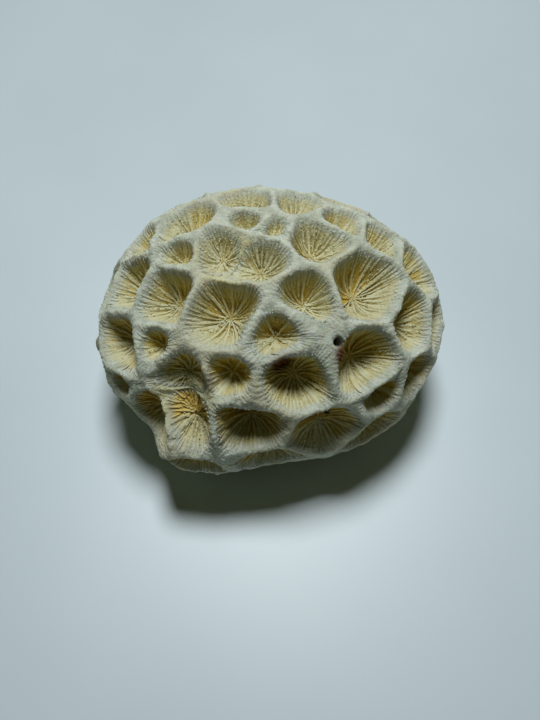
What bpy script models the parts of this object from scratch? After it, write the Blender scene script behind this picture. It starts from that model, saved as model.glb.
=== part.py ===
"""Fossil coral head: a rounded dome of deep calices that share thick walls.

The colony is one solid grown as one piece, and its flat underside is the cut it rests on.
The origin is the centre of that cut, +Z is up and +X runs along the longest side.
Lengths in the tables are millimetres and become metres where a vertex is placed.
Azimuth runs counter-clockwise from +X, and elevation rises from the widest level to the
crown.
"""
import math

import bmesh
import bpy
from mathutils import Vector

MM = 0.001

# The head as a whole.
HALF_WIDTH = 35.0
HALF_DEPTH = 30.0
WIDEST_LEVEL = 16.0
CROWN_RISE = 26.0
UNDERSIDE_FALL = 19.0

# The walls between calices, and the septa that line the bowls.
CREST_HALF_THICKNESS = 1.25
SHOULDER_DROP = 0.55
SHORTEST_WALL = 1.6
CREST_STEP = 1.95
SEPTUM_RISE = 0.3
COLUMELLA_RISE = 0.7

# Rings of a bowl: share of the mouth's radius, share of its depth, and how many times its
# corners are rounded.
BOWL_RINGS = [
    (1.00, 0.00, 3),
    (0.66, 0.58, 6),
    (0.30, 1.00, 12),
]

# Rings of the bare underside: elevation, and the push of its growth ripples.
UNDERSIDE_RINGS = [
    (-30.0, -0.4),
    (-45.0, 0.3),
]
RIB_RISE = 0.15
UNDERSIDE_REACH = 4.2
BASE_EDGE_INSET = 0.8

# Calices: azimuth and elevation of the mouth, reach (above 1 crowds its neighbours), depth.
CALICES = [
    # crown
    (-119, 65, 1.012, 6.8),
    (-57, 71, 1.002, 6.2),
    (161, 75, 0.998, 5.2),
    (-154, 86, 1.002, 5.8),
    (29, 73, 1.000, 5.6),
    (114, 72, 0.994, 4.2),
    (88, 79, 0.992, 3.0),
    (-15, 58, 1.010, 6.6),
    (-87, 61.5, 1.008, 4.4),
    # front face
    (-78, 44.5, 1.007, 6.6),
    (-50, 41, 1.005, 6.4),
    (-107, 44, 0.995, 5.2),
    (-124, 39, 0.995, 5.0),
    (-117, 20, 0.995, 4.6),
    (-98, 23, 1.000, 5.2),
    (-71, 15, 1.000, 4.2),
    (-48, 24, 0.992, 3.8),
    (-34, 16, 0.990, 4.4),
    # left flank
    (-142, 41, 0.990, 3.8),
    (-160, 54, 1.000, 5.8),
    (-179, 39, 1.000, 5.0),
    (-158, 28, 1.000, 4.8),
    (-147, 14, 0.985, 3.8),
    (-130, 11, 0.995, 4.4),
    (139, 55, 1.000, 4.8),
    (168, 63, 0.990, 4.2),
    (156, 40, 0.990, 4.4),
    (172, 21, 0.995, 4.6),
    # right flank
    (43, 57, 0.995, 4.4),
    (25, 48, 0.995, 5.0),
    (12, 33, 0.998, 4.8),
    (-19, 37, 0.998, 5.4),
    (-9, 19, 0.990, 4.0),
    # back
    (103, 57, 1.000, 5.2),
    (74, 57, 1.000, 5.0),
    (129, 38, 1.000, 5.0),
    (106, 39, 0.995, 5.2),
    (82, 38, 1.000, 5.4),
    (58, 38, 1.000, 5.0),
    (37, 31, 0.995, 4.8),
    (149, 20, 0.998, 4.8),
    (125, 19, 0.995, 4.6),
    (100, 20, 1.000, 5.0),
    (75, 19, 0.998, 4.8),
    (51, 17, 1.000, 4.8),
    (26, 14, 0.998, 4.6),
    # skirt above the underside
    (-162, 1, 1.000, 3.6),
    (-141, -6, 1.000, 3.2),
    (-112, -7, 1.000, 3.2),
    (-92, -2, 1.000, 3.2),
    (-53, 1, 1.000, 3.2),
    (-28, -3, 1.000, 3.2),
    (-6, -2, 1.000, 3.2),
    (14, -4, 1.000, 3.2),
    (37, -2, 1.000, 3.4),
    (62, -3, 1.000, 3.4),
    (87, -1, 1.000, 3.4),
    (112, -3, 1.000, 3.4),
    (137, -1, 1.000, 3.4),
    (162, -2, 1.000, 3.4),
    (184, 1, 1.000, 3.4),
]

# Broad swellings of the surface: azimuth, elevation, height, spread.
SWELLINGS = [
    (130, 45, 1.4, 13.0),
    (8, 32, 1.4, 12.0),
    (-116, -3, 3.8, 7.5),
    (-139, 2, -0.5, 4.5),
    (-155, 9, 1.2, 6.0),
    (-84, -4, -1.0, 8.0),
    (-134, -4, -1.8, 4.0),
    (-121, -8, 1.2, 2.2),
]

# Places where a wall between two calices sinks: azimuth, elevation, height, spread.
SADDLES = [
    (-121, 32, -3.4, 3.2),
    (-179, 78, -3.2, 3.0),
]

CORAL_COLOUR = (0.62, 0.56, 0.44, 1.0)
CORAL_ROUGHNESS = 0.92


def clear_scene():
    for item in list(bpy.data.objects):
        bpy.data.objects.remove(item, do_unlink=True)


def direction(azimuth, elevation):
    """Unit vector at an azimuth and elevation in degrees."""
    turn = math.radians(azimuth)
    rise = math.radians(elevation)
    across = math.cos(rise)
    return Vector((across * math.cos(turn), across * math.sin(turn), math.sin(rise)))


def half_height(heading):
    return CROWN_RISE if heading.z > 0 else UNDERSIDE_FALL


def plain_point(heading):
    """Point of the smooth body in a direction: a full dome over a shallower underside."""
    return Vector((
        HALF_WIDTH * heading.x,
        HALF_DEPTH * heading.y,
        WIDEST_LEVEL + half_height(heading) * heading.z,
    ))


def outward(heading):
    """Normal of the smooth body in a direction."""
    return Vector((
        heading.x / HALF_WIDTH,
        heading.y / HALF_DEPTH,
        heading.z / half_height(heading),
    )).normalized()


def relief(point, spots):
    """Height at a point of a list of soft round humps, or of hollows below zero."""
    total = 0.0
    for azimuth, elevation, height, spread in spots:
        distance = (point - plain_point(direction(azimuth, elevation))).length
        total += height * math.exp(-0.5 * (distance / spread) ** 2)
    return total


def body_point(heading, lift=0.0):
    """Point of the swollen body in a direction, raised by a lift along its normal."""
    point = plain_point(heading)
    return point + outward(heading) * (relief(point, SWELLINGS) + lift)


def hull_corners(sites):
    """Corners of the walls: the normals of the hull's triangles, listed for each site.

    Three calices meet where their sites share a triangle of the hull.
    """
    hull = bmesh.new()
    for site in sites:
        hull.verts.new(site)
    bmesh.ops.convex_hull(hull, input=hull.verts[:])
    hull.normal_update()
    hull.verts.index_update()
    hull.faces.index_update()
    corners = [face.normal.copy() for face in hull.faces]
    rounds = []
    for vert in hull.verts:
        centre = vert.co.normalized()
        east = Vector((0.1, 0.2, 1.0)).cross(centre).normalized()
        north = centre.cross(east)
        around = sorted(
            (face.index for face in vert.link_faces),
            key=lambda index: math.atan2(corners[index].dot(north), corners[index].dot(east)),
        )
        rounds.append(around)
    hull.free()
    return corners, rounds


def make_cells(bm, cell_layer):
    """One polygon for each calice and one for the underside, on the unit sphere."""
    sites = [direction(azimuth, elevation) * reach for azimuth, elevation, reach, _ in CALICES]
    sites.append(direction(0, -90) * UNDERSIDE_REACH)
    corners, rounds = hull_corners(sites)
    verts = [bm.verts.new(corner) for corner in corners]
    for number, around in enumerate(rounds):
        face = bm.faces.new([verts[index] for index in around])
        face[cell_layer] = number
    bmesh.ops.remove_doubles(bm, verts=bm.verts[:], dist=SHORTEST_WALL / HALF_DEPTH)


def divide_wall(edge, ridge_layer):
    """Split a wall into an even number of steps; every second new point bears a septum."""
    start, end = edge.verts
    length = (body_point(start.co.normalized()) - body_point(end.co.normalized())).length
    steps = 2 * max(1, round(length / (2 * CREST_STEP)))
    for step in range(1, steps):
        _, vert = bmesh.utils.edge_split(edge, start, 1.0 / (steps - step + 1))
        vert[ridge_layer] = step % 2
        edge = next(piece for piece in vert.link_edges if piece.other_vert(vert) == end)
        start = vert


def inner_ring(bm, face, outer):
    """Inset a face and return its new rim in the order of the outer rim."""
    bmesh.ops.inset_individual(bm, faces=[face], thickness=0.0)
    rim = set(face.verts)
    ring = []
    for vert in outer:
        ring.append(next(edge.other_vert(vert) for edge in vert.link_edges
                         if edge.other_vert(vert) in rim))
    return ring


def rounded(spans, passes):
    """Distances to a closed outline whose corners are cut back and whose sides stay."""
    for _ in range(passes):
        before = spans[-1:] + spans[:-1]
        after = spans[1:] + spans[:1]
        spans = [min(span, (left + 2 * span + right) / 4)
                 for span, left, right in zip(spans, before, after)]
    return spans


def carve_bowl(bm, face, depth, crests, ridge_layer):
    """Sink a calice: a rounded shoulder, then rings whose septa alternate with gaps."""
    outer = list(face.verts)
    ridges = [vert[ridge_layer] for vert in outer]
    rims = [crests[vert] for vert in outer]
    mouth = sum(rims, Vector()) / len(rims)
    axis = outward(sum((vert.co for vert in outer), Vector()).normalized())
    spans = [(rim - mouth).length for rim in rims]
    open_spans = [span - CREST_HALF_THICKNESS for span in spans]
    points = {}
    for share, fall, passes in BOWL_RINGS:
        ring = inner_ring(bm, face, outer)
        drop = SHOULDER_DROP + (depth - SHOULDER_DROP) * fall
        radii = rounded(open_spans, passes)
        for vert, rim, span, radius, ridge in zip(ring, rims, spans, radii, ridges):
            septum = SEPTUM_RISE * (1 if ridge else -1) * (0.5 if fall == 0.0 else 1.0)
            place = mouth + (rim - mouth) * (share * radius / span)
            points[vert] = place - axis * (drop - septum)
        outer = ring
    centre = bmesh.ops.poke(bm, faces=[face])["verts"][0]
    points[centre] = mouth - axis * (depth - COLUMELLA_RISE)
    return points


def close_underside(bm, face, ridge_layer):
    """Carry the skirt's edge inwards over the ribbed underside to the flat cut."""
    outer = list(face.verts)
    ribs = [RIB_RISE * (1 if vert[ridge_layer] else -1) for vert in outer]
    azimuths = [math.degrees(math.atan2(vert.co.y, vert.co.x)) for vert in outer]
    points = {}
    for elevation, ripple in UNDERSIDE_RINGS:
        outer = inner_ring(bm, face, outer)
        for vert, azimuth, rib in zip(outer, azimuths, ribs):
            points[vert] = body_point(direction(azimuth, elevation), ripple + rib)
    outer = inner_ring(bm, face, outer)
    cut_elevation = -math.degrees(math.asin(WIDEST_LEVEL / UNDERSIDE_FALL))
    for vert, azimuth in zip(outer, azimuths):
        edge_point = plain_point(direction(azimuth, cut_elevation))
        edge_point.z = 0.0
        points[vert] = edge_point - edge_point.normalized() * BASE_EDGE_INSET
    return points


def coral_mesh():
    bm = bmesh.new()
    cell_layer = bm.faces.layers.int.new("cell")
    ridge_layer = bm.verts.layers.int.new("ridge")
    make_cells(bm, cell_layer)
    for edge in bm.edges[:]:
        divide_wall(edge, ridge_layer)
    for vert in bm.verts:
        vert.co.normalize()
    points = {vert: body_point(vert.co, relief(plain_point(vert.co), SADDLES))
              for vert in bm.verts}
    crests = dict(points)
    for face in bm.faces[:]:
        number = face[cell_layer]
        if number < len(CALICES):
            points.update(carve_bowl(bm, face, CALICES[number][3], crests, ridge_layer))
        else:
            points.update(close_underside(bm, face, ridge_layer))
    for vert, point in points.items():
        vert.co = point * MM
    bowls = [face for face in bm.faces if len(face.verts) == 4]
    bmesh.ops.triangulate(bm, faces=bowls, quad_method="SHORT_EDGE")
    bm.normal_update()
    mesh = bpy.data.meshes.new("coral_head")
    bm.to_mesh(mesh)
    bm.free()
    mesh.shade_smooth()
    mesh.set_sharp_from_angle(angle=math.radians(50))
    return mesh


def coral_material():
    material = bpy.data.materials.new("fossil_coral")
    material.use_nodes = True
    shader = material.node_tree.nodes["Principled BSDF"]
    shader.inputs["Base Color"].default_value = CORAL_COLOUR
    shader.inputs["Roughness"].default_value = CORAL_ROUGHNESS
    shader.inputs["Metallic"].default_value = 0.0
    return material


def main():
    clear_scene()
    collection = bpy.data.collections.new("fossil_coral_head")
    bpy.context.scene.collection.children.link(collection)
    head = bpy.data.objects.new("coral_head", coral_mesh())
    head.data.materials.append(coral_material())
    collection.objects.link(head)


main()
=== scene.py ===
"""Fossil coral head: walls, bowls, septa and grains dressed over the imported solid.

Lengths are millimetres in the solid's own frame, and meshes are scaled to metres as they
are built.  Azimuth runs counter-clockwise from +X, and elevation rises from the widest
level of the head to its crown.  A heading is a unit vector from the middle of the head.
Shares run from 0 at the crest to 1 at the shoulder on a wall's top, and from 0 at the
middle to 1 at the shoulder in a cup's bowl.
"""

import math

import bmesh
import bpy
import numpy as np
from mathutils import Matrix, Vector, noise


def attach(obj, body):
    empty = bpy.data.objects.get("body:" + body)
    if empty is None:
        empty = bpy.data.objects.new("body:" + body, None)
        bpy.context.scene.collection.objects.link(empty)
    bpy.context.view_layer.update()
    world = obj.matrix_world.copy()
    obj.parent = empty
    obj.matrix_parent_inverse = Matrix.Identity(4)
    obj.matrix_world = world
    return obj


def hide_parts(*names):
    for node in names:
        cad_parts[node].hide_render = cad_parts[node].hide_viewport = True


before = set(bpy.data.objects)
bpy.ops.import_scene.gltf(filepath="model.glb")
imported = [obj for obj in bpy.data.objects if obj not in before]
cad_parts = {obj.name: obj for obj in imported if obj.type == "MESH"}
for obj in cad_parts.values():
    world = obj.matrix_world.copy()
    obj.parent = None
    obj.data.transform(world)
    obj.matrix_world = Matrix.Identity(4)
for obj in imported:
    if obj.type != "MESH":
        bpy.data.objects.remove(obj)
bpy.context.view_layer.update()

MM = 0.001

# The head as a whole, as in the solid.
HALF_WIDTH = 35.0
HALF_DEPTH = 30.0
WIDEST_LEVEL = 16.0
CROWN_RISE = 26.0
UNDERSIDE_FALL = 19.0
UNDERSIDE_REACH = 4.2
BASE_EDGE_INSET = 0.8

# Walls: the shortest kept, half the thickness at the top, the share of it lost for each
# millimetre of sinking, and how far the shoulder lies below the crest.
SHORTEST_WALL = 1.6
CREST_HALF_THICKNESS = 0.70
SADDLE_THINNING = 0.15
SHOULDER_DROP = 0.50

# Passes of smoothing that round a mouth, more in an uneven cell, and a bowl's middle.
MOUTH_ROUNDING = 40
UNEVEN_POWER = 4
MIDDLE_ROUNDING = 1400
MIDDLE_SHARE = 0.3

# Spacing of the septa along a wall, and how finely the wall is drawn between them.
SEPTUM_SPACING = 2.0
SAMPLES_PER_SEPTUM = 10
SEPTUM_PLACE = 5

# Ribs across a wall's top: height, the share of it left near the crest, height on the crest.
RIB_HEIGHT = 0.07
RIB_NEAR_CREST = 0.4
CREST_RIB_HEIGHT = 0.02

# Shares at which the wall's top is drawn.
WALL_SHARES = [0.25, 0.5, 0.75, 1.0]

# Shares at which the bowl is drawn between the septa, and its points for each septum.
FLOOR_SHARES = [0.95, 0.89, 0.82, 0.74, 0.65, 0.55, 0.44, 0.33, 0.22, 0.13, 0.06]
FLOOR_SAMPLES = 2

# Fall of the septa's upper edges at shares of the bowl, in shares of its depth.
RIDGE_FALL = [
    (1.00, 0.00), (0.93, 0.12), (0.85, 0.27), (0.75, 0.44), (0.63, 0.62),
    (0.48, 0.80), (0.33, 0.92), (0.18, 0.98), (0.00, 1.00),
]
# How far the gaps lie below those edges, in millimetres.
GAP_DEPTH = [
    (1.00, 0.06), (0.93, 0.34), (0.85, 0.62), (0.75, 0.86), (0.63, 1.00),
    (0.48, 0.96), (0.33, 0.74), (0.18, 0.42), (0.00, 0.15),
]
# Half the thickness of a septum at its edge and at its foot.
EDGE_HALF_WIDTH = [(1.00, 0.20), (0.85, 0.16), (0.65, 0.13), (0.40, 0.10), (0.10, 0.06)]
FOOT_HALF_WIDTH = [(1.00, 0.40), (0.85, 0.33), (0.65, 0.27), (0.40, 0.21), (0.10, 0.13)]
# How far above the bottom the septa's edges meet, on a knot of grains.
KNOT_HEIGHT = 0.4
# Shares of a wall's top where a septum starts, and how far it stands above the top there.
SEPTUM_START = [(0.35, -0.30), (0.80, -0.06)]
SEPTUM_ROWS = 16
# A cup with shorter arms than this on average has half as many septa, but bolder ones.
WIDE_CUP = 4.3

# Cups: azimuth and elevation of the mouth, reach (above 1 crowds its neighbours), depth.
CUPS = [
    # crown
    (-119, 65, 1.012, 6.8), (-57, 71, 1.002, 6.2), (161, 75, 0.998, 5.2),
    (-154, 86, 1.002, 5.8), (29, 73, 1.0, 5.6), (114, 72, 0.994, 4.2),
    (88, 79, 0.992, 3.0), (-15, 58, 1.010, 6.6), (-87, 61.5, 1.008, 4.4),
    # front face
    (-78, 44.5, 1.007, 6.6), (-50, 41, 1.005, 6.4), (-107, 44, 0.995, 5.2),
    (-124, 39, 0.995, 5.0), (-117, 20, 0.995, 4.6), (-98, 23, 1.0, 5.2),
    (-71, 15, 1.0, 4.2), (-48, 24, 0.992, 3.8), (-34, 16, 0.99, 4.4),
    # left flank
    (-142, 41, 0.99, 3.8), (-160, 54, 1.0, 5.8), (-179, 39, 1.0, 5.0),
    (-158, 28, 1.0, 4.8), (-147, 14, 0.985, 3.8), (-130, 11, 0.995, 4.4),
    (139, 55, 1.0, 4.8), (168, 63, 0.99, 4.2), (156, 40, 0.99, 4.4),
    (172, 21, 0.995, 4.6),
    # right flank
    (43, 57, 0.995, 4.4), (25, 48, 0.995, 5.0), (12, 33, 0.998, 4.8),
    (-19, 37, 0.998, 5.4), (-9, 19, 0.99, 4.0),
    # back
    (103, 57, 1.0, 5.2), (74, 57, 1.0, 5.0), (129, 38, 1.0, 5.0),
    (106, 39, 0.995, 5.2), (82, 38, 1.0, 5.4), (58, 38, 1.0, 5.0),
    (37, 31, 0.995, 4.8), (149, 20, 0.998, 4.8), (125, 19, 0.995, 4.6),
    (100, 20, 1.0, 5.0), (75, 19, 0.998, 4.8), (51, 17, 1.0, 4.8),
    (26, 14, 0.998, 4.6),
    # skirt above the underside
    (-162, 1, 1.0, 3.6), (-141, -6, 1.0, 3.2), (-112, -7, 1.0, 3.2),
    (-92, -2, 1.0, 3.2), (-53, 1, 1.0, 3.2), (-28, -3, 1.0, 3.2),
    (-6, -2, 1.0, 3.2), (14, -4, 1.0, 3.2), (37, -2, 1.0, 3.4),
    (62, -3, 1.0, 3.4), (87, -1, 1.0, 3.4), (112, -3, 1.0, 3.4),
    (137, -1, 1.0, 3.4), (162, -2, 1.0, 3.4), (184, 1, 1.0, 3.4),
]

# Spots, each an azimuth, an elevation, a height or strength, and a spread.
# Broad swellings of the surface.
SWELLINGS = [
    (130, 45, 1.4, 13.0), (8, 32, 1.4, 12.0), (-116, -3, 3.8, 7.5), (-139, 2, -0.5, 4.5),
    (-155, 9, 1.2, 6.0), (-84, -4, -1.0, 8.0), (-134, -4, -1.8, 4.0), (-121, -8, 1.2, 2.2),
]

# Places where a wall between two cups sinks.
SADDLES = [(-122, 29, -5.0, 3.4), (-179, 78, -4.4, 3.2)]

# Small knobs on the walls.
KNOBS = [(-121, 4, 1.3, 2.0)]

# Small holes bored into the surface: azimuth, elevation, radius, depth.
HOLES = [(-55, 52.2, 1.00, 2.4), (-67, 17, 0.60, 0.8), (-27, 31, 0.30, 0.5)]

# Corners where the wall is broad, with the half thickness added there.
BROAD_CORNERS = [(-58, 53, 2.2, 2.4), (-96, 36, 0.8, 2.5), (-67, 62, 0.7, 2.5)]

# Rusty stains.
STAINS = [
    (-83, 47.5, 2.2, 1.5), (-55.5, 47, 3.0, 0.9), (-116, 38, 0.7, 1.2),
    (-98, 26, 0.5, 2.0), (-55, 45, 0.5, 1.4),
]

# Places where the surface is rougher than elsewhere, by an added share.
ROUGH_SPOTS = [
    (98, 75, 1.2, 3.5), (70, 83, 1.0, 3.0), (60, 62, 0.8, 3.5),
    (155, 50, 1.4, 4.5), (-100, 33, 1.0, 3.0), (-60, 60, 0.8, 3.0),
    (-90, -6, 0.8, 8.0), (-114, 14, 1.0, 8.0), (-135, 30, 0.8, 6.0),
]

# Layers of noise: strength, size of the features, and a seed.
WALL_NOISE = [(0.32, 5.3, 0.0), (0.18, 1.9, 3.0)]
THICKNESS_NOISE = [(0.35, 4.2, 7.0)]
STONE_NOISE = [(0.18, 2.6, 9.0), (0.08, 1.1, 0.0), (0.03, 0.5, 2.0)]
FLOOR_NOISE = [(0.12, 1.3, 5.0), (0.08, 0.6, 6.0)]
FILLING_NOISE = [(0.30, 3.0, 11.0), (0.50, 1.3, 12.0)]
UNDERSIDE_NOISE = [(0.50, 6.0, 0.0), (0.35, 2.2, 0.0), (0.10, 0.8, 0.0)]

# Cobbles: their height and size, and how steeply they fall to their edges.
WALL_COBBLES = (0.09, 0.85)
UNDERSIDE_COBBLES = (0.16, 1.5)
COBBLE_SLOPE = 2.2

# Sideways wandering of the walls: waves to a radian, and reach in radians.
WANDERING = [(7.0, 0.012), (19.0, 0.005)]
DRIFT_SEEDS = (3, 17, 41)


# ---- the body


def clamped(value):
    return np.clip(value, 0.0, 1.0)


def ramp(value, start, slope):
    """0 at the start, and rising to 1 above it, or below it where the slope is negative."""
    return clamped((value - start) * slope)


def unit(rows):
    return rows / np.linalg.norm(rows, axis=-1, keepdims=True)


def direction(azimuth, elevation):
    """Heading at an azimuth and an elevation in degrees."""
    turn = math.radians(azimuth)
    rise = math.radians(elevation)
    across = math.cos(rise)
    return np.array([across * math.cos(turn), across * math.sin(turn), math.sin(rise)])


def body_radii(ways):
    """The three half sizes of the plain body, above or below its widest level."""
    upper = (HALF_WIDTH, HALF_DEPTH, CROWN_RISE)
    lower = (HALF_WIDTH, HALF_DEPTH, UNDERSIDE_FALL)
    return np.where(ways[..., 2:] > 0, upper, lower)


def plain_points(ways):
    """Points of the plain body, without its swellings, at some headings."""
    return ways * body_radii(ways) + (0.0, 0.0, WIDEST_LEVEL)


def headings_of(points):
    offsets = points - (0.0, 0.0, WIDEST_LEVEL)
    return unit(offsets / body_radii(offsets))


def outwards(ways):
    """Unit vectors that stand square on the plain body."""
    return unit(ways / body_radii(ways))


def distances(points, azimuth, elevation):
    """How far points of the plain body lie from one place on it."""
    return np.linalg.norm(points - plain_points(direction(azimuth, elevation)), axis=-1)


def relief(points, spots):
    """Height at each point of soft round humps, or of hollows below zero."""
    total = np.zeros(points.shape[:-1])
    for azimuth, elevation, height, spread in spots:
        total += height * np.exp(-0.5 * (distances(points, azimuth, elevation) / spread) ** 2)
    return total


def body_points(ways, lift=0.0):
    """Points of the body with its swellings, lifted off it by some millimetres."""
    points = plain_points(ways)
    rise = lift + relief(points, SWELLINGS)
    return points + outwards(ways) * rise[..., None]


def noise_relief(points, layers):
    """Smooth noise at each point, summed over its layers."""
    total = np.zeros(len(points))
    for strength, size, seed in layers:
        shift = Vector((seed, -seed, 2 * seed))
        total += strength * np.array(
            [noise.noise(Vector(point) / size + shift) for point in points])
    return total


def cobbles(points, layer):
    """Rounded bumps, of full height at their tops and of none or less between them."""
    height, size = layer
    nearest = [noise.voronoi(Vector(point) / size)[0][0] for point in points]
    return height * (1 - COBBLE_SLOPE * np.array(nearest))


def roughened(points):
    """Points of a wall moved out and in by the stone's lumps, cobbles and grain."""
    rough = noise_relief(points, STONE_NOISE) + cobbles(points, WALL_COBBLES)
    rough *= 1 + relief(points, ROUGH_SPOTS)
    return points + outwards(headings_of(points)) * rough[:, None]


# ---- the walls' tops


def drift(place):
    """A smooth vector of noise, the same in each run, which Blender's own noise_vector isn't."""
    return Vector([noise.noise(place + Vector((seed, 2 * seed, -seed))) for seed in DRIFT_SEEDS])


def wandered(way):
    """A heading moved a little sideways, so that no wall is straight."""
    moved = way.copy()
    for waves, reach in WANDERING:
        moved += drift(way * waves) * reach
    return moved.normalized()


def wall_lift(ways):
    """Rise and fall of the walls' tops, with their saddles and knobs."""
    points = plain_points(ways)
    return noise_relief(points, WALL_NOISE) + relief(points, SADDLES) + relief(points, KNOBS)


def sinking(points):
    """How far a wall has sunk at its saddles."""
    return np.maximum(0.0, -relief(plain_points(headings_of(points)), SADDLES))


def half_thickness(crest):
    """Half the thickness of the walls' tops at points of the crest."""
    thickness = CREST_HALF_THICKNESS * (1 + noise_relief(crest, THICKNESS_NOISE))
    thickness *= 1 - SADDLE_THINNING * sinking(crest)
    return thickness + relief(crest, BROAD_CORNERS)


def shoulder_drop(share):
    return SHOULDER_DROP * share ** 2


def rib(places):
    """1 on a rib that crosses the wall and -1 between two: two ribs for each septum."""
    return np.cos(places / SAMPLES_PER_SEPTUM * 4 * math.pi)


# ---- the network of walls


# No cup faces exactly this way, so crossed with an axis it gives a sideways direction.
NEARLY_UP = (0.1, 0.2, 1.0)


def hull_corners(sites):
    """Corners of the walls: the normals of the hull's triangles, listed for each site."""
    hull = bmesh.new()
    for site in sites:
        hull.verts.new(site)
    bmesh.ops.convex_hull(hull, input=hull.verts[:])
    hull.normal_update()
    hull.verts.index_update()
    hull.faces.index_update()
    corners = [face.normal.copy() for face in hull.faces]
    rounds = []
    for vert in hull.verts:
        centre = vert.co.normalized()
        east = Vector(NEARLY_UP).cross(centre).normalized()
        north = centre.cross(east)
        around = sorted(
            (face.index for face in vert.link_faces),
            key=lambda index: math.atan2(corners[index].dot(north), corners[index].dot(east)),
        )
        rounds.append(around)
    hull.free()
    return corners, rounds


def wall_length(edge):
    first, last = body_points(unit(np.array([vert.co for vert in edge.verts])))
    return np.linalg.norm(first - last)


def divide_wall(edge, bearing):
    """Split a wall evenly; the middle sample of every step bears a septum."""
    start, end = edge.verts
    pieces = SAMPLES_PER_SEPTUM * max(1, round(wall_length(edge) / SEPTUM_SPACING))
    for piece in range(1, pieces):
        _, vert = bmesh.utils.edge_split(edge, start, 1.0 / (pieces - piece + 1))
        vert[bearing] = piece % SAMPLES_PER_SEPTUM
        edge = next(part for part in vert.link_edges if part.other_vert(vert) == end)
        start = vert


def wall_network():
    """Headings and places of the samples along all crests, and the samples round each cell.

    A sample's place counts from 0, midway between two septa, and each cell starts at a 0.
    The last cell is the underside.
    """
    sites = [direction(azimuth, elevation) * reach for azimuth, elevation, reach, _ in CUPS]
    sites.append(direction(0, -90) * UNDERSIDE_REACH)
    corners, rounds = hull_corners(sites)
    network = bmesh.new()
    cell = network.faces.layers.int.new("cell")
    bearing = network.verts.layers.int.new("bearing")
    verts = [network.verts.new(corner) for corner in corners]
    for number, around in enumerate(rounds):
        network.faces.new([verts[index] for index in around])[cell] = number
    bmesh.ops.remove_doubles(network, verts=network.verts[:], dist=SHORTEST_WALL / HALF_DEPTH)
    for edge in network.edges[:]:
        divide_wall(edge, bearing)
    network.verts.index_update()
    ways = np.array([wandered(vert.co.normalized()) for vert in network.verts])
    places = np.array([vert[bearing] for vert in network.verts])
    cells = [None] * len(sites)
    for face in network.faces:
        ring = np.array([vert.index for vert in face.verts])
        cells[face[cell]] = np.roll(ring, -int(np.argmax(places[ring] == 0)))
    network.free()
    return ways, places, cells


# ---- one cup


# Filling of the gaps, 0 to 1: everywhere, on the crown where it is level, and downhill.
FILL_EVERYWHERE = 0.25
FILL_ON_CROWN = 0.95
CROWN_POWER = 16
FILL_DOWNHILL = 0.75
DOWN_AND_FORWARD = (0.0, -0.3, -1.0)

# Gaps are shallower in small cups, and where they are filled.
LEAST_GAP = 0.4
FULL_GAP_SPAN = 9.0
FILLED_FROM = 0.45
FILLED_SLOPE = 2.0
FILLED_RANGE = (0.1, 0.6)

# Ramps: of the painted shade and of the bottom over a bowl's shares, and of how steep a cup
# is and how much amber painted shade it takes, over its axis's rise.
SHADE_RAMP = (1.02, -4)
BOTTOM_RAMP = (0.625, -1.6)
STEEP_RAMP = (1.0, -4)
AMBER_SHADE_RAMP = (0.75, -3)
# How much painted shade a level bowl has, and how much of it filled gaps keep at the bottom.
LEVEL_SHADE = 0.35
BOTTOM_SHADE = 0.5


def rounded(spans, passes):
    """Distances to a closed outline whose corners are cut back and whose sides stay."""
    for _ in range(passes):
        softened = (np.roll(spans, 1) + 2 * spans + np.roll(spans, -1)) / 4
        spans = np.minimum(spans, softened)
    return spans


def profile(table, share):
    shares, values = zip(*reversed(table))
    return np.interp(share, shares, values)


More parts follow.
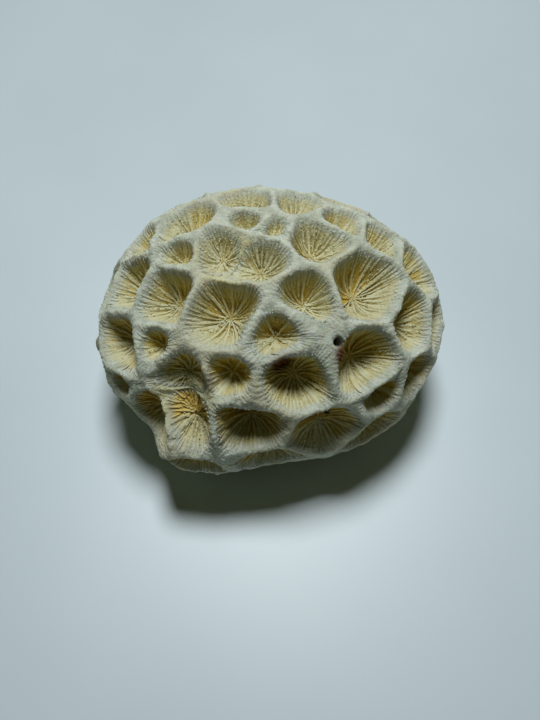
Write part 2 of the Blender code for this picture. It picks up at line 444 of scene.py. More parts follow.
class Cup:
    """The crest round one cup, the shoulder inside it, and the bowl within."""

    def __init__(self, number, ways, places, samples):
        self.number = number
        self.samples = samples
        self.ways = ways[samples]
        self.places = places[samples]
        self.centre = unit(self.ways.mean(axis=0))
        self.axis = outwards(self.centre)
        self.set_outline()
        self.set_bowl()
        self.set_septa()

    def set_outline(self):
        """How far the wall's thickness and the rounding draw the mouth in from the crest."""
        crest = body_points(self.ways)
        self.middle = crest.mean(axis=0)
        spans = np.linalg.norm(crest - self.middle, axis=1)
        uneven = spans.max() / spans.min()
        passes = int(MOUTH_ROUNDING * uneven ** UNEVEN_POWER)
        opening = rounded(spans - half_thickness(crest), passes)
        self.lean = opening / spans
        self.roundness = rounded(opening, MIDDLE_ROUNDING) / opening

    def set_bowl(self):
        """The shoulder, the arms that reach to it from the mouth's middle, and the depth."""
        self.shoulder = self.wall(1.0)
        self.mouth = self.shoulder.mean(axis=0)
        self.arms = self.shoulder - self.mouth
        self.span = np.linalg.norm(self.arms, axis=1).mean()
        self.sunk = sinking(self.shoulder)
        bottom = self.middle - self.axis * CUPS[self.number][3]
        self.depth = (self.mouth - bottom) @ self.axis - KNOT_HEIGHT
        # How much amber painted shade a low cup takes on its shaded side.
        self.amber = ramp(self.axis[2], *AMBER_SHADE_RAMP)
        self.fill = self.filling()

    def set_septa(self):
        """The samples that carry septa, and the points on the wall where they start."""
        self.starts = np.array([roughened(self.wall(share)) for share, _ in SEPTUM_START])
        self.swell = roughened(self.shoulder) - self.shoulder
        self.wide = self.span > WIDE_CUP
        self.septa = np.flatnonzero(self.places == SEPTUM_PLACE)[::1 if self.wide else 2]
        self.small_septa = np.flatnonzero(self.places == 0)

    def filling(self):
        """How much the gaps are filled: most on the downhill side, and on the crown in front."""
        downhill = self.axis * self.axis[2] + DOWN_AND_FORWARD
        along = unit(self.arms) @ unit(downhill)
        patchy = noise_relief(self.mouth + self.arms, FILLING_NOISE)
        crown = FILL_ON_CROWN * self.axis[2] ** CROWN_POWER
        return clamped(FILL_EVERYWHERE + crown + FILL_DOWNHILL * along + patchy)

    def wall(self, share):
        """Points on the wall's top."""
        lean = 1 + (self.lean - 1) * share
        ways = unit(self.centre + (self.ways - self.centre) * lean[:, None])
        ribs = RIB_HEIGHT * rib(self.places) * (RIB_NEAR_CREST + (1 - RIB_NEAR_CREST) * share)
        return body_points(ways, wall_lift(ways) - shoulder_drop(share) + ribs)

    def reach(self, share, index):
        """Share of the arms' length: the outline grows rounder towards the middle."""
        blend = clamped((share - MIDDLE_SHARE) / (1 - MIDDLE_SHARE))
        return share * (blend + (1 - blend) * self.roundness[index])

    def ridge(self, share, index):
        """Points on the septa's upper edges; below a saddle they fall less."""
        reach = self.reach(share, index)
        fall = profile(RIDGE_FALL, share)
        level = self.depth * fall + self.sunk[index] * (1 - reach - fall)
        return (self.mouth + self.arms[index] * np.reshape(reach, (-1, 1))
                - self.axis * np.reshape(level, (-1, 1)))

    def fall(self, share):
        """How far the septa's edges have fallen, in millimetres."""
        return self.depth * profile(RIDGE_FALL, share)

    def gap_depth(self, share, index):
        """How far the gaps between the septa lie below their edges."""
        size = min(1.0, LEAST_GAP + self.span / FULL_GAP_SPAN)
        shut = np.clip((share - FILLED_FROM) * FILLED_SLOPE, *FILLED_RANGE)
        return profile(GAP_DEPTH, share) * size * (1 - shut * self.fill[index])

    def dusk(self, share, index):
        """How far a place takes the darker colour painted as shade on the bowl's uphill side and
        bottom.
        """
        tilted = LEVEL_SHADE + (1 - LEVEL_SHADE) * ramp(self.axis[2], *STEEP_RAMP)
        kept = BOTTOM_SHADE * ramp(share, *BOTTOM_RAMP)
        return ramp(share, *SHADE_RAMP) * tilted * (1 - self.fill[index] * (1 - kept))


# ---- holes, stains and charts


# A hole's wall is steep, and the black painted shade inside it fades out just past its rim.
HOLE_SLOPE = 1.3
BLACK_AT_MIDDLE = 2.0
BLACK_FADE = 1.7

# The head's chart nearly fills the unit square, and stops short of straight down.
CHART_HALF = 0.495
LOWEST_CHARTED = -0.999


def hole_distances(points):
    """For each hole, how far the points lie from it, with its radius and its depth."""
    plain = plain_points(headings_of(points))
    for azimuth, elevation, radius, depth in HOLES:
        yield distances(plain, azimuth, elevation), radius, depth


# Painted shade: black inside each hole.
def hole_shade(points):
    blacks = [clamped(BLACK_AT_MIDDLE - BLACK_FADE * away / radius)
              for away, radius, _ in hole_distances(points)]
    return np.max(blacks, axis=0)


def rustiness(points):
    return clamped(relief(plain_points(headings_of(points)), STAINS))


def bored(points):
    """Points pushed in where a small hole is bored."""
    depths = sum(depth * clamped(HOLE_SLOPE * (1 - (away / radius) ** 2))
                 for away, radius, depth in hole_distances(points))
    return points - outwards(headings_of(points)) * depths[:, None]


def near_hole(points, margin):
    return np.any([away < radius + margin for away, radius, _ in hole_distances(points)], axis=0)


def disc_chart(points):
    """Equal-area chart of the head in the unit square, the crown at its middle."""
    ways = headings_of(points)
    shrink = np.sqrt(2.0 / (1.0 + np.clip(ways[:, 2], LOWEST_CHARTED, 1.0))) / 2.0
    return 0.5 + CHART_HALF * ways[:, :2] * shrink[:, None]


# ---- gathering a mesh


# Values that drive the colours: millimetres fallen below the crest, then shares of a gap, of
# painted shade, of amber painted shade, and of the bare underside darkened as painted shade.
VALUES = ("fall", "gap", "dusk", "amber", "bare")


class MeshParts:
    """Vertices, faces and per-vertex values gathered for one mesh."""

    def __init__(self):
        self.points = []
        self.faces = []
        self.values = {name: [] for name in VALUES}
        self.chart = []
        self.count = 0

    def add(self, points, chart=None, **values):
        """Adds vertices and returns their numbers; a value left out is 0."""
        first = self.count
        self.points.append(points)
        self.chart.append(disc_chart(points) if chart is None else chart)
        for name, stack in self.values.items():
            stack.append(np.broadcast_to(values.get(name, 0.0), (len(points),)))
        self.count += len(points)
        return np.arange(first, self.count)

    def band(self, outer, inner):
        """Faces between two closed rings; the outer may have several points for each inner."""
        ratio = len(outer) // len(inner)
        half = ratio // 2
        for i in range(len(inner)):
            after = (i + 1) % len(inner)
            arc = [outer[(ratio * i + j) % len(outer)] for j in range(ratio + 1)]
            if ratio == 1:
                self.faces.append((arc[0], arc[1], inner[after], inner[i]))
                continue
            for j in range(ratio):
                self.faces.append((arc[j], arc[j + 1], inner[i] if j < half else inner[after]))
            self.faces.append((arc[half], inner[after], inner[i]))

    def grow(self, outer, points, **values):
        """A new ring of vertices inside another, with faces between them."""
        inner = self.add(points, **values)
        self.band(outer, inner)
        return inner

    def close(self, ring, point, **values):
        """Faces from a ring to a new vertex in its middle."""
        centre = self.add(point[None], **values)[0]
        self.faces += [(ring[i - 1], ring[i], centre) for i in range(len(ring))]

    def tube(self, rows):
        """Faces round a closed tube of equal rows of vertices, with flat ends."""
        for before, after in zip(rows, rows[1:]):
            self.band(before, after)
        self.faces += [tuple(rows[0][::-1]), tuple(rows[-1])]

    def build(self, name):
        """The object with all that was gathered, linked into the scene."""
        mesh = bpy.data.meshes.new(name)
        points = np.concatenate(self.points)
        faces = [tuple(int(index) for index in face) for face in self.faces]
        mesh.from_pydata((points * MM).tolist(), [], faces)
        layers = {value: np.concatenate(stack) for value, stack in self.values.items()}
        layers["hole"] = hole_shade(points)
        layers["stain"] = rustiness(points)
        for value, numbers in layers.items():
            layer = mesh.attributes.new(value, "FLOAT", "POINT")
            layer.data.foreach_set("value", numbers.astype(np.float32))
        corners = np.empty(len(mesh.loops), dtype=np.int64)
        mesh.loops.foreach_get("vertex_index", corners)
        chart = mesh.uv_layers.new(name="OFBake")
        chart.data.foreach_set("uv", np.concatenate(self.chart)[corners].ravel())
        mesh.shade_smooth()
        mesh.validate()
        piece = bpy.data.objects.new(name, mesh)
        bpy.context.scene.collection.objects.link(piece)
        return piece


# ---- the surface


# Colour values: the lower half of a wall's top counts a little as a gap, a bowl's gaps show
# most under painted shade, painted shade deepens the colour like a fall, and low cups take
# amber painted shade.
WALL_GAP = 0.25
WALL_GAP_FROM = 0.5
GAP_SLOPE = 6
LIT_GAP = 0.5
SHADE_FALL = 0.7
FLOOR_AMBER_SHADE = 0.8
MIDDLE_LOOK = {"gap": 0.5, "dusk": 0.5}

# Under a septum the floor rises by this share of the gap, less towards the middle.
RISE_UNDER_SEPTUM = 0.5
RISE_SLOPE = 1.2


def add_wall_top(parts, cup, crest_ids):
    """The rows of one cup's wall, from its crest to its shoulder."""
    outer = crest_ids
    for share in WALL_SHARES:
        points = roughened(cup.wall(share))
        fall = shoulder_drop(share) + sinking(points)
        gap = WALL_GAP * max(0.0, share - WALL_GAP_FROM)
        outer = parts.grow(outer, bored(points), fall=fall, gap=gap)
    return outer


def floor_points(cup, share, chosen):
    """One row of the bowl's floor, in the gaps and under the septa by turns."""
    under = np.where(cup.places[chosen] == SEPTUM_PLACE, min(1.0, RISE_SLOPE * share ** 2), 0.0)
    lowered = cup.gap_depth(share, chosen) * (1 - RISE_UNDER_SEPTUM * under)
    points = cup.ridge(share, chosen) - cup.axis * lowered[:, None]
    return points + cup.axis * noise_relief(points, FLOOR_NOISE)[:, None]


def add_floor(parts, cup, outer):
    """The rows of one bowl between its septa, down to its middle."""
    chosen = slice(None, None, SAMPLES_PER_SEPTUM // FLOOR_SAMPLES)
    for share in FLOOR_SHARES:
        # Painted shade on the bowl's uphill side and bottom; it deepens the colour like a fall.
        dusk = cup.dusk(share, chosen)
        gap = min(1.0, (1 - share) * GAP_SLOPE) * (LIT_GAP + (1 - LIT_GAP) * dusk)
        outer = parts.grow(outer, bored(floor_points(cup, share, chosen)), gap=gap, dusk=dusk,
                           fall=cup.fall(share) + SHADE_FALL * dusk,
                           amber=FLOOR_AMBER_SHADE * cup.amber * dusk)
    centre = cup.mouth - cup.axis * (cup.depth + GAP_DEPTH[-1][1])
    parts.close(outer, centre, fall=cup.depth, **MIDDLE_LOOK)


# The underside: its rows as shares of the way from the skirt to the flat cut, how many are
# drawn as finely as the walls, and how coarse the others are.
UNDERSIDE_SHARES = [0.04, 0.09, 0.15, 0.22, 0.3, 0.4, 0.5, 0.6, 0.7, 0.8, 0.9, 0.97]
FINE_ROWS = 2
COARSE_STEP = 4

# Its faint rings and ribs, how soon they fade at the skirt and at the cut, and its colour:
# the bare stone, darkened as painted shade under the head.
RING_HEIGHT = 0.35
RING_HALF_WAVES = 5
LOWER_RIB_HEIGHT = 0.06
SKIRT_FADE = 8
CUT_FADE = 12
BARE_SLOPE = 2.5
UNDERSIDE_LOOK = {"fall": 0.8, "dusk": 0.8}


def underside_lift(ways, share, ribs):
    """Height of the underside's rings, ribs and grain."""
    points = plain_points(ways)
    rings = -RING_HEIGHT * math.sin(share * RING_HALF_WAVES * math.pi) * (1 - share)
    rough = noise_relief(points, UNDERSIDE_NOISE) + cobbles(points, UNDERSIDE_COBBLES)
    rough += LOWER_RIB_HEIGHT * ribs
    fade = min(1.0, CUT_FADE * (1 - share)) * min(1.0, SKIRT_FADE * share)
    return fade * (rings + rough)


def add_underside(parts, ways, places, ids):
    """The bare underside, from the skirt's edge down to the flat cut."""
    azimuths = np.degrees(np.arctan2(ways[:, 1], ways[:, 0]))
    elevations = np.degrees(np.arcsin(ways[:, 2]))
    cut = -math.degrees(math.asin(WIDEST_LEVEL / UNDERSIDE_FALL))
    ribs = rib(places)
    outer = ids
    for number, share in enumerate(UNDERSIDE_SHARES):
        step = 1 if number < FINE_ROWS else COARSE_STEP
        levels = elevations + (cut - elevations) * share
        row = np.array([direction(a, e) for a, e in zip(azimuths[::step], levels[::step])])
        points = body_points(row, underside_lift(row, share, ribs[::step]))
        # The bare underside's colour, darkened as painted shade under the head.
        bare = min(1.0, BARE_SLOPE * share)
        outer = parts.grow(outer, points, bare=bare, **UNDERSIDE_LOOK)
    add_flat_cut(parts, [direction(a, cut) for a in azimuths[::COARSE_STEP]], outer)


def add_flat_cut(parts, ways, outer):
    """The flat face that the head rests on."""
    edge = plain_points(np.array(ways))
    edge[:, 2] = 0.0
    edge -= unit(edge) * BASE_EDGE_INSET
    inner = parts.grow(outer, edge, bare=1.0, **UNDERSIDE_LOOK)
    parts.close(inner, np.zeros(3), bare=1.0, **UNDERSIDE_LOOK)


BASE_CHART_MIDDLE = 0.075
BASE_CHART_RADIUS = 0.065
FLAT_WITHIN = 1e-6


def chart_base(piece):
    """Gives the flat cut a small chart of its own, in a corner outside the head's."""
    mesh = piece.data
    chart = mesh.uv_layers["OFBake"].data
    widest = HALF_WIDTH * MM
    for face in mesh.polygons:
        if max(mesh.vertices[index].co.z for index in face.vertices) > FLAT_WITHIN:
            continue
        for corner in face.loop_indices:
            co = mesh.vertices[mesh.loops[corner].vertex_index].co
            chart[corner].uv = [
                BASE_CHART_MIDDLE + BASE_CHART_RADIUS * side / widest for side in co.xy]


def make_surface(ways, places, underside, cups):
    """The walls' tops, the bowls, the underside and the flat cut, as one closed mesh."""
    parts = MeshParts()
    crest = roughened(body_points(ways, wall_lift(ways) + CREST_RIB_HEIGHT * rib(places)))
    crest_ids = parts.add(bored(crest), fall=sinking(crest))
    for cup in cups:
        shoulder = add_wall_top(parts, cup, crest_ids[cup.samples])
        add_floor(parts, cup, shoulder)
    add_underside(parts, ways[underside], places[underside], crest_ids[underside])
    piece = parts.build("coral_surface")
    chart_base(piece)
    return piece


# ---- the septa


# Long and short septa by turns: the share where they end, their relative thickness, their
# lowness as a share of the gap, and how much more of it beside an open gap.
LONG_SEPTUM = (0.07, 1.05, 0.12, 0.15)
SHORT_SEPTUM = (0.32, 0.80, 0.22, 0.45)
BOLD_SEPTUM = 1.4
# How these vary from septum to septum, and where they stop.
END_VARIES = 0.12
END_LEAST = 0.04
THICKNESS_VARIES = 1.1
LOWERED_VARIES = 0.9
LOWERED_MOST = 0.85
# Small septa: rows, the share where they end, how it varies, lowness, relative thickness.
SMALL_SEPTUM = (4, 0.72, 0.18, 0.25, 0.6)

# Steps of a septum's own noise from cup to cup and from sample to sample.
BLADE_SEEDS = (13.7, 3.1)
SEPTUM_SEEDS = (5.3, 1.7)
SMALL_SEPTUM_SEEDS = (2.9, 2.3)

# A septum's rows before the shoulder: count, depth of their feet, fall, and taper.
STARTED = len(SEPTUM_START)
START_FOOT = 0.25
START_FALL = 0.7
START_TAPER = [0.2, 0.45, 0.7]

# How far a septum's edge stands above the ridge, and its foot is let into the floor.
EDGE_HEIGHT = 0.07
SHOULDER_DIP = 0.05
END_DIP = 0.15
FOOT_LET_IN = 0.15

# Unevenness along a septum: waves, their length in rows, jitter, and a seed.
EDGE_UNEVEN = (0.08, 1.3, 0.07, 0)
SIDE_UNEVEN = (0.22, 6.0, 0.04, 50)
THICKNESS_UNEVEN = (0.20, 1.6, 0.15, 90)
# A septum's freedom to stray sideways, as a ramp over its rows.
STRAY_RAMP = (1.8, 1 / 3)

# Inside the bowl a septum is thicker, above all where the gaps are filled.
INSIDE_RAMP = (1.03, -8)
INSIDE_THICKENING = 0.1
FILLED_THICKENING = 0.8

# Colour values of the septa (amber painted shade, and the feet where gaps are filled), and
# which of a row's four corners are its feet.
BLADE_AMBER_SHADE = 0.5
FILLED_FOOT = 0.4
FEET = (1.0, 0.0, 0.0, 1.0)

HOLE_MARGIN = 0.2
SHARP_ANGLE = 50
CHART_COLUMNS = 46
CHART_MARGIN = 0.06


def seeded(cup, index, seeds):
    return seeds[0] * cup.number + seeds[1] * index


def blade_chart(number, rows, columns):
    """A small cell of the unit square for one blade, as rows by columns."""
    row, column = divmod(number, CHART_COLUMNS)
    along = (column + np.linspace(CHART_MARGIN, 1 - CHART_MARGIN, rows)) / CHART_COLUMNS
    across = (row + np.linspace(CHART_MARGIN, 1 - CHART_MARGIN, columns)) / CHART_COLUMNS
    return np.stack(np.meshgrid(along, across, indexing="ij"), axis=-1).reshape(-1, 2)


def ragged(kind, seed, count, draw):
    """Unevenness along the rows of a septum: smooth waves and some jitter."""
    waves, length, jitter, shift = kind
    seed = seed + shift
    wave = [noise.noise(Vector((seed, row / length, 0.5 * seed))) for row in range(count)]
    return waves * np.array(wave) + jitter * draw.uniform(-1, 1, count)


def blade_tops(cup, index, shares):
    """The line that a septum follows, from the wall's top down the ridge."""
    tops = np.concatenate([cup.starts[:, index], cup.ridge(shares[STARTED:], [index])])
    tops[STARTED] += cup.swell[index]
    return tops


def blade_rise(gaps, low, seed, draw):
    """How far a septum's edge stands above that line at each row."""
    rise = EDGE_HEIGHT - low * gaps
    rise[:STARTED] = [height for _, height in SEPTUM_START]
    rise[STARTED] -= SHOULDER_DIP
    rise += ragged(EDGE_UNEVEN, seed, len(gaps), draw)
    rise[-1] -= END_DIP
    return rise


def blade_sway(count, seed, draw):
    """How far a septum strays sideways at each row."""
    return ragged(SIDE_UNEVEN, seed, count, draw) * ramp(np.arange(count), *STRAY_RAMP)


def blade_thickness(cup, index, shares, thickness, seed, draw):
    """Relative thickness of a septum at each row."""
    thick = thickness * (1 + ragged(THICKNESS_UNEVEN, seed, len(shares), draw))
    inside = ramp(shares, *INSIDE_RAMP)
    thick *= 1 + (FILLED_THICKENING * cup.fill[index] + INSIDE_THICKENING) * inside
    thick[:STARTED + 1] *= START_TAPER
    return thick


def blade_values(cup, index, shares):
    """Colour values at the four corners of each row of a septum."""
    # Painted shade on the bowl's uphill side, with amber painted shade in low cups.
    dusk = cup.dusk(shares, [index])
    fall = cup.fall(shares) + SHADE_FALL * dusk
    fall[:STARTED] = START_FALL
    gap = np.full(len(shares), 1 - FILLED_FOOT * cup.fill[index])
    gap[:STARTED] = 0.0
    rows = {"fall": fall, "dusk": dusk, "amber": BLADE_AMBER_SHADE * cup.amber * dusk}
    corners = {name: np.repeat(value, len(FEET)) for name, value in rows.items()}
    return {"gap": np.outer(gap, FEET).ravel(), **corners}


def add_blade(parts, cup, index, shape, number, draw):
    """One septum: a rib on the wall that runs down into the bowl as a thin ragged plate."""
    rows, end, low, thickness = shape
    seed = seeded(cup, index, BLADE_SEEDS)
    shares = np.concatenate([np.ones(STARTED), np.linspace(1.0, end, rows)])
    gaps = cup.gap_depth(shares, [index])
    gaps[:STARTED] = START_FOOT
    rise = blade_rise(gaps, low, seed, draw)
    sway = blade_sway(len(shares), seed, draw)
    thick = blade_thickness(cup, index, shares, thickness, seed, draw)
    side = unit(np.cross(cup.axis, cup.arms[index]))
    tops = blade_tops(cup, index, shares) + side * sway[:, None]
    feet = tops - cup.axis * (gaps + FOOT_LET_IN)[:, None]
    edges = tops + cup.axis * rise[:, None]
    foot = side * (profile(FOOT_HALF_WIDTH, shares) * thick)[:, None]
    edge = side * (profile(EDGE_HALF_WIDTH, shares) * thick)[:, None]
    corners = np.stack([feet - foot, edges - edge, edges + edge, feet + foot], axis=1)
    chart = blade_chart(number, len(shares), len(FEET))
    ids = parts.add(corners.reshape(-1, 3), chart, **blade_values(cup, index, shares))
    parts.tube(ids.reshape(-1, len(FEET)))


def septum_shape(cup, turn, index):
    """Rows, inner end, lowness and relative thickness of one septum."""
    seed = seeded(cup, index, SEPTUM_SEEDS)
    wish = noise.noise(Vector((seed, 0.3, 0.7)))
    worn = noise.noise(Vector((seed, 5.3, 2.1)))
    end, thickness, lowered, lowered_open = SHORT_SEPTUM if turn % 2 else LONG_SEPTUM
    end += END_VARIES * wish
    thickness *= (1 + THICKNESS_VARIES * wish) * (1.0 if cup.wide else BOLD_SEPTUM)
    low = lowered + lowered_open * (1 - cup.fill[index]) + LOWERED_VARIES * worn
    return SEPTUM_ROWS, max(END_LEAST, end), np.clip(low, 0.0, LOWERED_MOST), thickness


def small_septum_shape(cup, _, index):
    rows, end, varies, low, thickness = SMALL_SEPTUM
    end += varies * noise.noise(Vector((seeded(cup, index, SMALL_SEPTUM_SEEDS), 9.3, 0.7)))
    return rows, end, low, thickness


def starts_near_hole(cup, index):
    starts = np.vstack([cup.starts[:, index], cup.shoulder[index]])
    return near_hole(starts, HOLE_MARGIN).any()


def make_blades(name, cups, samples_of, shape_of):
    """One piece of all septa of a kind, at the samples that carry them."""
    parts = MeshParts()
    number = 0
    for cup in cups:
        draw = np.random.default_rng(cup.number + 1)
        for turn, index in enumerate(samples_of(cup)):
            if not starts_near_hole(cup, index):
                add_blade(parts, cup, index, shape_of(cup, turn, index), number, draw)
                number += 1
    piece = parts.build(name)
    piece.data.set_sharp_from_angle(angle=math.radians(SHARP_ANGLE))
    return piece


# ---- grains


# Kinds of grains: least and most radii along, across and up, and how they tilt and turn.
KNOT_GRAIN = ((0.12, 0.08, 0.08), (0.30, 0.16, 0.20), 0.5, 0.3)
CRUMB = ((0.12, 0.07, 0.07), (0.26, 0.14, 0.18), 0.4, 0.25)
LUMPINESS = 0.22
GRAIN_MARGIN = 0.15

# The knot at a bowl's middle: how many grains, how far from it and above it, and their look.
KNOT_COUNT = (9, 15)
KNOT_RADIUS = 0.9
KNOT_RISE = (-0.25, 0.15)
KNOT_FALL = 0.8
# The knot's colour values, with a little painted shade.
KNOT_LOOK = {"gap": 0.1, "dusk": 0.3}

# Crumbs on the septa: how many for each, how likely where no gap is filled, how many samples
# aside, at which shares, how deep in the gap, and how much larger where it is filled.
CRUMBS_PER_SEPTUM = 4
CRUMB_ODDS = 0.3
CRUMB_ASIDE = (-2, 3)
CRUMB_SHARES = (0.08, 0.97)
CRUMB_SHARE_POWER = 0.8
CRUMB_DEPTHS = (0.0, 0.5)
CRUMB_GROWTH = 0.5
CRUMB_GAP = 0.3


def blob_template():
    """Vertices and faces of a low blob of radius 1, with few faces."""
    blob = bmesh.new()
    bmesh.ops.create_icosphere(blob, subdivisions=1, radius=1.0)
    points = np.array([vert.co for vert in blob.verts])
    faces = np.array([[vert.index for vert in face.verts] for face in blob.faces])
    blob.free()
    return points, faces


BLOB_POINTS, BLOB_FACES = blob_template()


def add_grains(parts, draw, kind, axis, centres, alongs, growth, **values):
    """Small lumpy grains, left out near a hole."""
    least, most, tilt, turn = kind
    ups = unit(axis + tilt * draw.normal(size=centres.shape))
    radii = draw.uniform(least, most, centres.shape) * growth
    alongs = alongs + turn * draw.normal(size=centres.shape)
    keep = ~near_hole(centres, GRAIN_MARGIN)
    centres = centres[keep]
    ups = ups[keep]
    sides = unit(np.cross(ups, alongs[keep]))
    alongs = np.cross(sides, ups)
    lumps = 1 + LUMPINESS * draw.uniform(-1, 1, (len(centres), len(BLOB_POINTS), 1))
    scaled = BLOB_POINTS[None] * radii[keep][:, None] * lumps
    points = (centres[:, None] + scaled[..., :1] * alongs[:, None]
              + scaled[..., 1:2] * sides[:, None] + scaled[..., 2:] * ups[:, None])
    spread = {name: np.repeat(np.broadcast_to(value, keep.shape)[keep], len(BLOB_POINTS))
              for name, value in values.items()}
    ids = parts.add(points.reshape(-1, 3), **spread).reshape(len(centres), -1)
    for row in ids:
        parts.faces += [tuple(row[face]) for face in BLOB_FACES]


def add_knot(parts, cup, draw):
    """The knot of grains where the septa meet at the middle of the bowl."""
    count = int(draw.integers(*KNOT_COUNT))
    turn = draw.uniform(0, 2 * math.pi, count)
    away = KNOT_RADIUS * np.sqrt(draw.random(count))
    east = unit(np.cross(cup.axis, NEARLY_UP))
    north = np.cross(cup.axis, east)
    flat = east * np.cos(turn)[:, None] + north * np.sin(turn)[:, None]
    rise = draw.uniform(*KNOT_RISE, count) - cup.depth
    centres = cup.mouth + flat * away[:, None] + cup.axis * rise[:, None]
    add_grains(parts, draw, KNOT_GRAIN, cup.axis, centres, flat, 1.0,
               fall=KNOT_FALL * cup.depth, **KNOT_LOOK)


def crumb_centres(cup, index, share, sunk):
    """Places on the septa's edges, sunk by shares of the gaps beside them."""
    return np.concatenate([
        cup.ridge(np.array([s]), [i]) - cup.axis * (cup.gap_depth(s, i) * depth)
        for s, i, depth in zip(share, index, sunk)])


def add_crumbs(parts, cup, draw):
    """Teeth along the septa's edges, and crumbs lodged against their sides."""
    count = CRUMBS_PER_SEPTUM * len(cup.septa)
    odds = CRUMB_ODDS + cup.fill[cup.septa]
    chosen = draw.choice(cup.septa, count, p=odds / odds.sum())
    index = (chosen + draw.integers(*CRUMB_ASIDE, count)) % len(cup.arms)
    share = draw.uniform(*CRUMB_SHARES, count) ** CRUMB_SHARE_POWER
    sunk = draw.uniform(*CRUMB_DEPTHS, count)
    centres = crumb_centres(cup, index, share, sunk)
    fill = cup.fill[index]
    growth = 1 + CRUMB_GROWTH * fill[:, None]
    # Crumbs take painted shade where the gaps are open.
    add_grains(parts, draw, CRUMB, cup.axis, centres, unit(cup.arms[index]), growth,
               fall=cup.fall(share), gap=CRUMB_GAP * sunk, dusk=1 - fill)


def make_grains(cups):
    parts = MeshParts()
    for cup in cups:
        draw = np.random.default_rng(cup.number + 1)
        add_knot(parts, cup, draw)
        add_crumbs(parts, cup, draw)
    return parts.build("coral_grains")


# ---- materials


CREST_PALE = (0.67, 0.69, 0.58, 1)
CREST_GREY = (0.52, 0.54, 0.43, 1)
CREST_WARM = (0.63, 0.60, 0.44, 1)
CREAM = (0.68, 0.65, 0.42, 1)
SAND = (0.60, 0.53, 0.28, 1)
# Painted shade: the septa's colour on a bowl's shaded side, and the open gaps' colour there.
SHADE_YELLOW = (0.78, 0.69, 0.32, 1)
OCHRE = (0.80, 0.58, 0.11, 1)
UMBER = (0.64, 0.42, 0.03, 1)
SLOT = (0.58, 0.45, 0.17, 1)
# Amber painted shade on the shaded side of low cups.
AMBER_SHADE = (0.62, 0.355, 0.0, 1)
# The bare underside, darkened as painted shade under the head.
BARE_SHADED_PALE = (0.50, 0.45, 0.33, 1)
BARE_SHADED_DARK = (0.30, 0.25, 0.16, 1)
RUST = (0.14, 0.055, 0.02, 1)
# Painted shade: black inside the holes.
HOLE_SHADE_BLACK = (0.012, 0.008, 0.004, 1)
TABLE_BLUE = (0.64, 0.73, 0.78, 1)
TABLE_PALE = (0.70, 0.79, 0.84, 1)

# The shader's own values for stone and for the table.
STONE = {
    "Roughness": 0.88,
    "Specular IOR Level": 0.15,
    "Subsurface Scale": 0.0014,
    "Subsurface Radius": (1.0, 0.7, 0.3),
}
TABLE = {"Roughness": 0.42, "Specular IOR Level": 0.7}
# Light goes some way into the solid stone, but the blades are too thin for that.
SOLID_GLOW = 0.5
THIN_GLOW = 0.0

# Mottling: scale in waves to a metre, detail and roughness.
FINE_MOTTLING = (420, 4, 0.55)
BROAD_MOTTLING = (55, 2, 0.55)
TABLE_MOTTLING = (9, 3, 0.55)

# Ranges over which one colour gives way to another.
PALE_TO_GREY = (0.36, 0.64)
CREST_TO_WARM = (0.50, 0.68)
CREAM_TO_SAND = (0.46, 0.72)
# Sand turns to yellow with the painted shade.
SAND_TO_SHADE = (0.2, 1.0)
CREST_TO_BOWL = (0.30, 1.6)
# Slots turn to ochre with the painted shade.
SLOT_TO_OCHRE = (0.2, 1.1)
OCHRE_TO_UMBER = (1.5, 6.0)
WALL_TO_GAP = (0.1, 0.9)
BARE_PALE_TO_DARK = (0.30, 0.85)
TABLE_BLUE_TO_PALE = (0.3, 0.7)

# The grain of the stone, as bump: packed grains and the noise that breaks them up.
PACKED_SCALE = 2300
PACKED_RANGE = (0.0, 0.9, 0.6, 0.0)
BROKEN_GRAIN = (1500, 6, 0.75)
BUMP = {"Strength": 0.55, "Distance": 0.0003}


# The Mix node's own numbers of its colour sockets.
MIX_FIRST = 6
MIX_SECOND = 7
MIX_RESULT = 2


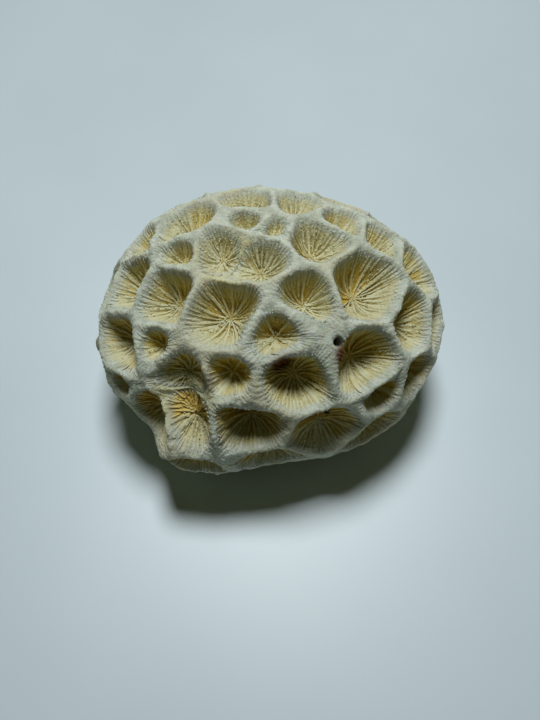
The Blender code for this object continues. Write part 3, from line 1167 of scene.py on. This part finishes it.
class Shading:
    """One material and the nodes that paint it."""

    def __init__(self, name, settings):
        self.material = bpy.data.materials.new(name)
        self.material.use_nodes = True
        self.tree = self.material.node_tree
        self.shader = self.tree.nodes["Principled BSDF"]
        self.set_inputs(self.shader, settings)
        self.place = self.add("ShaderNodeTexCoord", {}).outputs["Object"]

    def set_inputs(self, node, inputs):
        """Gives each input that is named a value, or a link from another node's socket."""
        for name, value in inputs.items():
            if isinstance(value, bpy.types.NodeSocket):
                self.tree.links.new(value, node.inputs[name])
            else:
                node.inputs[name].default_value = value

    def add(self, kind, inputs):
        node = self.tree.nodes.new(kind)
        self.set_inputs(node, inputs)
        return node

    def attribute(self, name):
        node = self.add("ShaderNodeAttribute", {})
        node.attribute_name = name
        return node.outputs["Fac"]

    def mottling(self, scale, detail, roughness):
        inputs = {"Vector": self.place, "Scale": scale, "Detail": detail, "Roughness": roughness}
        return self.add("ShaderNodeTexNoise", inputs).outputs["Fac"]

    def remap(self, value, low, high, to_low=0.0, to_high=1.0):
        """A value moved softly from one range to another."""
        node = self.add("ShaderNodeMapRange", {
            "Value": value, "From Min": low, "From Max": high, "To Min": to_low, "To Max": to_high})
        node.interpolation_type = "SMOOTHSTEP"
        return node.outputs["Result"]

    def mixed(self, first, second, factor):
        """A colour between two; each of them is a colour or a socket."""
        node = self.add("ShaderNodeMix", {"Factor": factor})
        node.data_type = "RGBA"
        self.set_inputs(node, {MIX_FIRST: first, MIX_SECOND: second})
        return node.outputs[MIX_RESULT]

    def turned(self, first, second, value, start_and_end):
        """A colour that turns into another over a range of a value."""
        return self.mixed(first, second, self.remap(value, *start_and_end))

    def granular(self):
        """The bumps of a fine granular surface: packed grains broken up by noise."""
        cells = self.add("ShaderNodeTexVoronoi", {"Vector": self.place, "Scale": PACKED_SCALE})
        packed = self.remap(cells.outputs["Distance"], *PACKED_RANGE)
        height = self.add("ShaderNodeMath", {0: packed, 1: self.mottling(*BROKEN_GRAIN)})
        inputs = {**BUMP, "Height": height.outputs["Value"]}
        return self.add("ShaderNodeBump", inputs).outputs["Normal"]

    def finished(self, inputs):
        """The material, once its shader has its colour and its bumps."""
        self.set_inputs(self.shader, inputs)
        return self.material


def wall_colour(paint, fall, dusk, fine):
    """Grey-white crests, and septa that are cream as they go down, and yellow as painted shade."""
    crest = paint.turned(CREST_PALE, CREST_GREY, fine, PALE_TO_GREY)
    broad = paint.mottling(*BROAD_MOTTLING)
    crest = paint.turned(crest, CREST_WARM, broad, CREST_TO_WARM)
    inner = paint.turned(CREAM, SAND, fine, CREAM_TO_SAND)
    inner = paint.turned(inner, SHADE_YELLOW, dusk, SAND_TO_SHADE)
    return paint.turned(crest, inner, fall, CREST_TO_BOWL)


def gap_colour(paint, fall, dusk):
    """Sandy slots where there is no painted shade, as where gaps are filled, ochre as painted
    shade, and darker umber the deeper they lie.
    """
    slot = paint.turned(SLOT, OCHRE, dusk, SLOT_TO_OCHRE)
    return paint.turned(slot, UMBER, fall, OCHRE_TO_UMBER)


def coral_material(name, glow):
    """The stone, coloured by the values on its vertices."""
    paint = Shading(name, {**STONE, "Subsurface Weight": glow})
    fall = paint.attribute("fall")
    dusk = paint.attribute("dusk")
    fine = paint.mottling(*FINE_MOTTLING)
    walls = wall_colour(paint, fall, dusk, fine)
    gaps = gap_colour(paint, fall, dusk)
    colour = paint.turned(walls, gaps, paint.attribute("gap"), WALL_TO_GAP)
    bare = paint.turned(BARE_SHADED_PALE, BARE_SHADED_DARK, fine, BARE_PALE_TO_DARK)
    # Amber painted shade in low cups, the bare underside darkened as painted shade, real rusty
    # stains, and black painted shade in the holes.
    for mark, tint in (("amber", AMBER_SHADE), ("bare", bare), ("stain", RUST), ("hole", HOLE_SHADE_BLACK)):
        colour = paint.mixed(colour, tint, paint.attribute(mark))
    return paint.finished({"Base Color": colour, "Normal": paint.granular()})


def table_material():
    paint = Shading("pale_table", TABLE)
    tone = paint.mottling(*TABLE_MOTTLING)
    colour = paint.turned(TABLE_BLUE, TABLE_PALE, tone, TABLE_BLUE_TO_PALE)
    return paint.finished({"Base Color": colour})


# ---- stage, light and camera


TABLE_SIZE = 3.0
TABLE_CLEARANCE = 0.00005


def make_floor():
    bpy.ops.mesh.primitive_plane_add(size=TABLE_SIZE, location=(0.0, 0.0, -TABLE_CLEARANCE))
    floor = bpy.context.object
    floor.name = "table"
    floor.data.materials.append(table_material())


def look_back(item, target, way, distance):
    """Places a lamp or a camera at a distance from its target, facing it, and links it."""
    item.location = Vector(target) + way * distance
    item.rotation_euler = way.to_track_quat("Z", "Y").to_euler()
    bpy.context.scene.collection.objects.link(item)


LAMP_WAY = Vector(direction(90, 73))
LAMP_DISTANCE = 0.5
LAMP_SIZE = 0.16
LAMP_POWER = 1.9
LAMP_COLOUR = (0.92, 0.98, 1.0)
LAMP_TARGET = (0.0, 0.0, 0.01)
SKY_COLOUR = (0.76, 0.92, 0.34, 1)
SKY_STRENGTH = 0.028


def make_light():
    """A soft window above and behind, and a faint sky."""
    world = bpy.data.worlds.new("studio")
    bpy.context.scene.world = world
    world.use_nodes = True
    background = world.node_tree.nodes["Background"]
    background.inputs["Color"].default_value = SKY_COLOUR
    background.inputs["Strength"].default_value = SKY_STRENGTH
    light = bpy.data.lights.new("window", "AREA")
    light.shape = "DISK"
    light.size = LAMP_SIZE
    light.energy = LAMP_POWER
    light.color = LAMP_COLOUR
    lamp = bpy.data.objects.new("window", light)
    look_back(lamp, LAMP_TARGET, LAMP_WAY, LAMP_DISTANCE)


# The camera in the photograph's place, and the angle of the frame's short side.
CAMERA_WAY = Vector(direction(-90, 62))
CAMERA_DISTANCE = 0.150
CAMERA_AIM = (0.0002, -0.0066, 0.014)
CAMERA_RANGE = (0.001, 20.0)
SHORT_SIDE_ANGLE = 41.0
FRAME_WIDTH = 540
FRAME_HEIGHT = 720


def make_camera():
    data = bpy.data.cameras.new("camera")
    half_long = math.tan(math.radians(SHORT_SIDE_ANGLE / 2)) * FRAME_HEIGHT / FRAME_WIDTH
    data.lens = data.sensor_width / 2 / half_long
    data.clip_start, data.clip_end = CAMERA_RANGE
    camera = bpy.data.objects.new("camera", data)
    look_back(camera, CAMERA_AIM, CAMERA_WAY, CAMERA_DISTANCE)
    bpy.context.scene.camera = camera


# ---- the head


def make_coral():
    """Every piece of the head rides on its one body and stands for its one solid."""
    ways, places, cells = wall_network()
    cups = [Cup(number, ways, places, cells[number]) for number in range(len(CUPS))]
    surface = make_surface(ways, places, cells[-1], cups)
    blades_and_grains = [
        make_blades("coral_septa", cups, lambda cup: cup.septa, septum_shape),
        make_blades("coral_small_septa", cups, lambda cup: cup.small_septa, small_septum_shape),
        make_grains(cups),
    ]
    surface.data.materials.append(coral_material("fossil_coral", SOLID_GLOW))
    thin = coral_material("fossil_coral_thin", THIN_GLOW)
    for piece in blades_and_grains:
        piece.data.materials.append(thin)
    for piece in [surface, *blades_and_grains]:
        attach(piece, "root")
        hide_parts("coral_head")


make_coral()
make_floor()
make_light()
make_camera()
bpy.context.scene.view_settings.view_transform = "Standard"
